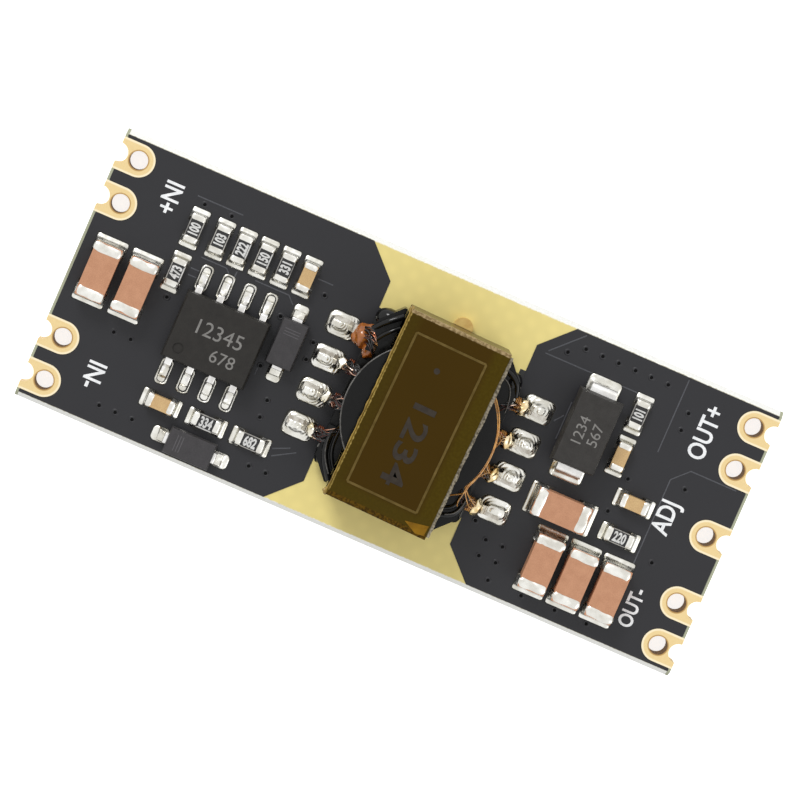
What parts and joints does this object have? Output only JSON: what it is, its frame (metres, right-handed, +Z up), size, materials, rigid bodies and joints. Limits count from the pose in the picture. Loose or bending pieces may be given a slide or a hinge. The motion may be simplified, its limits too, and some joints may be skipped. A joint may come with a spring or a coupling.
{
  "type": "isolated step-down converter module",
  "caption": "Small power module: circuit board with a wound transformer across a bare isolation gap, chip parts on both sides and plated terminals at both ends.",
  "frame": {"origin": "under the middle of the board, on the surface that it rests on", "axes": "+X along the board from the input end to the output end, +Y across the board towards the positive terminals, +Z up out of the side that carries the parts"},
  "size_m": [0.039, 0.0158, 0.0071],
  "materials": {
    "laminate": "bare glass fibre laminate, pale straw yellow, satin",
    "solder_mask": "black printed solder mask, semi-matt",
    "gold_plating": "gold plate over copper, satin",
    "tinned_copper": "tinned copper, bright",
    "large_capacitor_ceramic": "fired ceramic, matt brown",
    "small_capacitor_ceramic": "fired ceramic, matt tan",
    "tin_end_caps": "plated tin, satin",
    "resistor_ceramic": "white alumina",
    "resistor_glaze": "black glaze, satin",
    "moulding_compound": "black moulding compound, fine matt",
    "tinned_leads": "tin plated leads, satin",
    "bobbin_resin": "black moulded resin, glossy",
    "ferrite": "sintered ferrite, dark grey",
    "enamelled_copper": "enamelled copper wire, glossy",
    "winding_tape": "yellow polyester tape",
    "core_tape": "amber polyimide tape, translucent over dark ferrite",
    "varnish": "amber varnish and resin, glossy",
    "solder": "bright solder"
  },
  "bodies": {
    "root": {"printed_board_laminate": "laminate", "input_solder_mask": "solder_mask", "output_solder_mask": "solder_mask", "input_positive_terminal_1": "gold_plating", "input_negative_terminal_1": "gold_plating", "output_positive_terminal_1": "gold_plating", "output_negative_terminal_1": "gold_plating", "input_positive_terminal_2": "gold_plating", "input_negative_terminal_2": "gold_plating", "output_positive_terminal_2": "gold_plating", "output_negative_terminal_2": "gold_plating", "adjust_terminal": "gold_plating", "component_lands": "tinned_copper", "input_capacitor_1": "large_capacitor_ceramic", "input_capacitor_2": "large_capacitor_ceramic", "output_capacitor_1": "large_capacitor_ceramic", "output_capacitor_2": "large_capacitor_ceramic", "output_capacitor_3": "large_capacitor_ceramic", "output_capacitor_4": "large_capacitor_ceramic", "large_capacitor_end_caps": "tin_end_caps", "supply_capacitor": "small_capacitor_ceramic", "timing_capacitor": "small_capacitor_ceramic", "snubber_capacitor": "small_capacitor_ceramic", "feedback_capacitor": "small_capacitor_ceramic", "small_capacitor_end_caps": "tin_end_caps", "sense_resistor": "resistor_ceramic", "control_resistor_1": "resistor_ceramic", "control_resistor_2": "resistor_ceramic", "control_resistor_3": "resistor_ceramic", "control_resistor_4": "resistor_ceramic", "control_resistor_5": "resistor_ceramic", "timing_resistor_1": "resistor_ceramic", "timing_resistor_2": "resistor_ceramic", "snubber_resistor": "resistor_ceramic", "adjust_resistor": "resistor_ceramic", "resistor_end_caps": "tin_end_caps", "resistor_overcoats": "resistor_glaze", "controller_body": "moulding_compound", "controller_leads": "tinned_leads", "clamp_diode_body": "moulding_compound", "supply_diode_body": "moulding_compound", "small_diode_leads": "tinned_leads", "rectifier_body": "moulding_compound", "rectifier_leads": "tinned_leads", "transformer_bobbin": "bobbin_resin", "upper_core": "ferrite", "lower_core": "ferrite", "primary_winding": "enamelled_copper", "secondary_winding": "enamelled_copper", "barrier_tape": "winding_tape", "winding_tape": "winding_tape", "core_tape": "core_tape", "transformer_pins": "tinned_leads", "lead_wire_wraps": "enamelled_copper", "secondary_lead_wire": "enamelled_copper", "pin_varnish_bead": "varnish", "core_glue_bead": "varnish", "chip_solder_fillets": "solder", "lead_solder_fillets": "solder", "transformer_solder_joints": "solder"}
  },
  "joints": []
}
